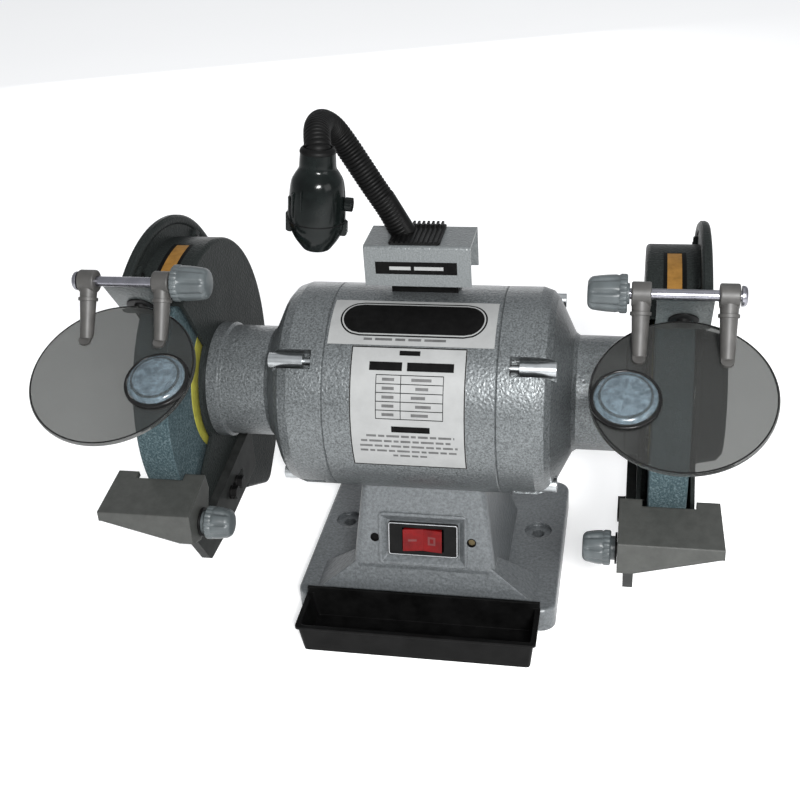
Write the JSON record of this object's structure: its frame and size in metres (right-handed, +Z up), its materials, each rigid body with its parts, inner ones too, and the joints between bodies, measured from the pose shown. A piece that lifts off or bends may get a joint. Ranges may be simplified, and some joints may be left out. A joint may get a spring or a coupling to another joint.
{
  "type": "bench grinder",
  "caption": "Bench grinder: motor on a cast base, guarded abrasive wheels at both ends, eye shields, tool rests, water tray and gooseneck lamp.",
  "frame": {"origin": "on the bench under the middle of the shaft", "axes": "+X along the shaft to the right, -Y to the user, +Z up"},
  "size_m": [0.473, 0.3062, 0.3916],
  "materials": {
    "hammered_paint": "hammered paint",
    "guard_paint": "satin paint",
    "rest_metal": "satin",
    "zinc": "zinc plated",
    "black_steel": "black oxide",
    "screw_zinc": "plated",
    "bright_steel": "ground",
    "lamination": "stamped",
    "copper": "enamelled wire",
    "abrasive": "abrasive grain",
    "blotter_paper": "printed card",
    "chrome_rod": "polished",
    "clip_plastic": "satin",
    "clear_lens": "clear polycarbonate",
    "knob_plastic": "moulded",
    "black_plastic": "moulded",
    "red_plastic": "moulded",
    "white_plate": "printed",
    "capacitor_case": "can",
    "socket_ceramic": "glazed",
    "bulb_glass": "frosted"
  },
  "bodies": {
    "base": {"base_casting": "hammered_paint", "base_bottom_plate": "zinc", "stator_housing": "hammered_paint", "left_end_bell": "hammered_paint", "right_end_bell": "hammered_paint", "stator_core": "lamination", "stator_windings": "copper", "through_bolts": "zinc", "bearing_outer_rings": "bright_steel", "bearing_balls": "bright_steel", "run_capacitor": "capacitor_case", "terminal_block": "black_plastic", "switch_body": "black_plastic", "panel_screws": "screw_zinc", "name_plate": "white_plate", "rating_plate": "white_plate", "dresser_holder": "hammered_paint", "holder_spacer": "black_steel", "cable_gland": "black_plastic", "lamp_base": "black_plastic", "left_wheel_guard": "guard_paint", "right_wheel_guard": "guard_paint", "left_guard_cover": "guard_paint", "right_guard_cover": "guard_paint", "guard_cover_screws": "black_steel", "guard_mount_screws": "black_steel", "rest_arm_bolts": "black_steel", "arrestor_screws": "black_steel"},
    "shaft": {"motor_shaft": "bright_steel", "rotor_core": "lamination", "bearing_inner_rings": "bright_steel", "left_grinding_wheel": "abrasive", "right_grinding_wheel": "abrasive", "wheel_flanges": "zinc", "wheel_blotters": "blotter_paper", "wheel_nuts": "zinc"},
    "rocker": {"switch_rocker": "red_plastic"},
    "tray": {"water_tray": "black_plastic"},
    "lamp_link_middle": {"gooseneck_middle": "black_plastic"},
    "lamp_link_upper": {"gooseneck_upper": "black_plastic"},
    "lamp": {"lamp_head": "black_plastic", "lamp_bulb": "bulb_glass", "lamp_socket": "socket_ceramic"},
    "lamp_switch": {"lamp_switch_knob": "black_plastic"},
    "right_arm": {"right_rest_arm": "guard_paint"},
    "right_table": {"right_rest_table": "rest_metal"},
    "right_table_clamp": {"right_rest_knob": "knob_plastic"},
    "right_arrestor": {"right_spark_arrestor": "guard_paint", "right_shield_rod": "chrome_rod"},
    "right_shield": {"right_shield_clips": "clip_plastic", "right_shield_lens": "clear_lens"},
    "right_shield_clamp": {"right_shield_knob": "knob_plastic"},
    "left_arm": {"left_rest_arm": "guard_paint"},
    "left_table": {"left_rest_table": "rest_metal"},
    "left_table_clamp": {"left_rest_knob": "knob_plastic"},
    "left_arrestor": {"left_spark_arrestor": "guard_paint", "left_shield_rod": "chrome_rod"},
    "left_shield": {"left_shield_clips": "clip_plastic", "left_shield_lens": "clear_lens"},
    "left_shield_clamp": {"left_shield_knob": "knob_plastic"}
  },
  "joints": [
    {"name": "shaft_spin", "type": "hinge", "parent": "base", "child": "shaft", "pos_m": [0, 0, 0.176], "axis": [1, 0, 0], "continuous": true},
    {"name": "right_rest_slide", "type": "slide", "parent": "base", "child": "right_arm", "axis": [0, 1, 0], "range_m": [-0.012, 0.0015]},
    {"name": "right_rest_tilt", "type": "hinge", "parent": "right_arm", "child": "right_table", "pos_m": [0.148, -0.112, 0.122], "axis": [1, 0, 0], "range_deg": [-3, 25]},
    {"name": "right_rest_clamp_turn", "type": "hinge", "parent": "right_arm", "child": "right_table_clamp", "pos_m": [0.132, -0.112, 0.122], "axis": [1, 0, 0], "continuous": true},
    {"name": "right_arrestor_slide", "type": "slide", "parent": "base", "child": "right_arrestor", "axis": [0, 0.6, -0.8], "range_m": [-0.006, 0.0015]},
    {"name": "right_shield_tilt", "type": "hinge", "parent": "right_arrestor", "child": "right_shield", "pos_m": [0.18, -0.088, 0.298], "axis": [1, 0, 0], "range_deg": [-60, 4]},
    {"name": "right_shield_clamp_turn", "type": "hinge", "parent": "right_arrestor", "child": "right_shield_clamp", "pos_m": [0.132, -0.088, 0.298], "axis": [1, 0, 0], "continuous": true},
    {"name": "left_rest_slide", "type": "slide", "parent": "base", "child": "left_arm", "axis": [0, 1, 0], "range_m": [-0.012, 0.0015]},
    {"name": "left_rest_tilt", "type": "hinge", "parent": "left_arm", "child": "left_table", "pos_m": [-0.148, -0.112, 0.122], "axis": [1, 0, 0], "range_deg": [-3, 25]},
    {"name": "left_rest_clamp_turn", "type": "hinge", "parent": "left_arm", "child": "left_table_clamp", "pos_m": [-0.132, -0.112, 0.122], "axis": [1, 0, 0], "continuous": true},
    {"name": "left_arrestor_slide", "type": "slide", "parent": "base", "child": "left_arrestor", "axis": [0, 0.6, -0.8], "range_m": [-0.006, 0.0015]},
    {"name": "left_shield_tilt", "type": "hinge", "parent": "left_arrestor", "child": "left_shield", "pos_m": [-0.18, -0.088, 0.298], "axis": [1, 0, 0], "range_deg": [-60, 4]},
    {"name": "left_shield_clamp_turn", "type": "hinge", "parent": "left_arrestor", "child": "left_shield_clamp", "pos_m": [-0.132, -0.088, 0.298], "axis": [1, 0, 0], "continuous": true},
    {"name": "switch_rock", "type": "hinge", "parent": "base", "child": "rocker", "pos_m": [0, -0.04633, 0.06769], "axis": [0, 0.2356, 0.9719], "range_deg": [-8, 8]},
    {"name": "tray_lift", "type": "slide", "parent": "base", "child": "tray", "axis": [0, 0, 1], "range_m": [0, 0.04]},
    {"name": "lamp_lower_bend", "type": "hinge", "parent": "base", "child": "lamp_link_middle", "pos_m": [-0.028, 0.009, 0.329], "axis": [0, 1, 0], "range_deg": [-15, 15]},
    {"name": "lamp_upper_bend", "type": "hinge", "parent": "lamp_link_middle", "child": "lamp_link_upper", "pos_m": [-0.046, 0.008, 0.359], "axis": [0, 1, 0], "range_deg": [-15, 15]},
    {"name": "lamp_swivel", "type": "hinge", "parent": "lamp_link_upper", "child": "lamp", "pos_m": [-0.0524, -0.0462, 0.369], "axis": [0.0964, 0.0593, 0.9936], "range_deg": [-90, 90]},
    {"name": "lamp_switch_turn", "type": "hinge", "parent": "lamp", "child": "lamp_switch", "pos_m": [-0.03639, -0.04803, 0.33837], "axis": [0.9953, -0.0057, -0.0962], "continuous": true}
  ]
}
